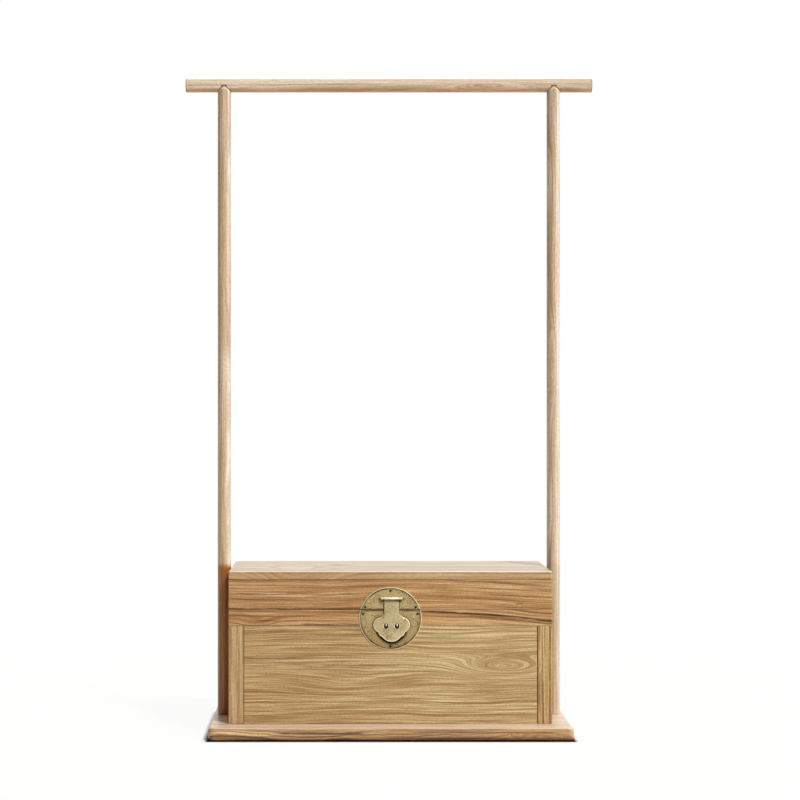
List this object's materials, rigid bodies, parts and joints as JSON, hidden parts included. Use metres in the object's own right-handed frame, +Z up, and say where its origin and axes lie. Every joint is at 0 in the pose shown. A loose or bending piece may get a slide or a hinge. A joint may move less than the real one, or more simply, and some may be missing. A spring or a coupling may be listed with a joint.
{
  "type": "kimono stand",
  "caption": "Floor stand with a round bar on two posts over a low hinged chest on a base board, for hanging a kimono.",
  "frame": {"origin": "middle of the base board's underside, on the floor", "axes": "+Z up, +X to the right along the bar as seen from the front, +Y from the lock side to the hinge side"},
  "size_m": [1.1, 0.45, 1.755],
  "materials": {
    "pole_wood": "pale sanded wood under a thin clear satin coat",
    "chest_wood": "straight-grained softwood, honey coloured, satin",
    "panel_wood": "flat-sawn softwood, yellowish tan, satin",
    "base_wood": "straight-grained plank with reddish streaks, satin",
    "lock_brass": "aged, matte, faintly mottled",
    "nail_brass": "dark patinated nail heads",
    "hinge_brass": "plain satin",
    "zinc_steel": "zinc plated"
  },
  "bodies": {
    "stand": {"base_board": "base_wood", "left_post": "pole_wood", "right_post": "pole_wood", "hanging_bar": "pole_wood", "left_post_bolt": "zinc_steel", "right_post_bolt": "zinc_steel", "left_post_washer": "zinc_steel", "right_post_washer": "zinc_steel", "chest_screw_front_left": "zinc_steel", "chest_screw_front_right": "zinc_steel", "chest_screw_back_left": "zinc_steel", "chest_screw_back_right": "zinc_steel", "front_top_rail": "chest_wood", "front_left_stile": "chest_wood", "front_right_stile": "chest_wood", "front_panel": "panel_wood", "back_top_rail": "chest_wood", "back_left_stile": "chest_wood", "back_right_stile": "chest_wood", "back_panel": "panel_wood", "left_side_board": "chest_wood", "right_side_board": "chest_wood", "bottom_board": "chest_wood", "lock_plate_lower": "lock_brass", "lock_eye_left": "lock_brass", "lock_eye_right": "lock_brass", "plate_nail_4": "nail_brass", "plate_nail_5": "nail_brass", "plate_nail_6": "nail_brass", "left_hinge_body_leaf": "hinge_brass", "left_hinge_pin": "hinge_brass", "right_hinge_body_leaf": "hinge_brass", "right_hinge_pin": "hinge_brass", "left_body_leaf_screw_1": "hinge_brass", "left_body_leaf_screw_2": "hinge_brass", "right_body_leaf_screw_1": "hinge_brass", "right_body_leaf_screw_2": "hinge_brass"},
    "lid": {"lid_top": "chest_wood", "lid_front": "chest_wood", "lid_back": "chest_wood", "lid_left": "chest_wood", "lid_right": "chest_wood", "lock_plate_upper": "lock_brass", "hasp_pin": "lock_brass", "plate_nail_1": "nail_brass", "plate_nail_2": "nail_brass", "plate_nail_3": "nail_brass", "left_hinge_lid_leaf": "hinge_brass", "right_hinge_lid_leaf": "hinge_brass", "left_lid_leaf_screw_1": "hinge_brass", "left_lid_leaf_screw_2": "hinge_brass", "right_lid_leaf_screw_1": "hinge_brass", "right_lid_leaf_screw_2": "hinge_brass"},
    "hasp": {"hasp": "lock_brass"}
  },
  "joints": [
    {"name": "lid_hinge", "type": "hinge", "parent": "stand", "child": "lid", "pos_m": [0, 0.154, 0.3343], "axis": [-1, 0, 0], "range_deg": [0, 100]},
    {"name": "hasp_hinge", "type": "hinge", "parent": "lid", "child": "hasp", "pos_m": [0.003, -0.1669, 0.3623], "axis": [-1, 0, 0], "range_deg": [0, 180]}
  ]
}
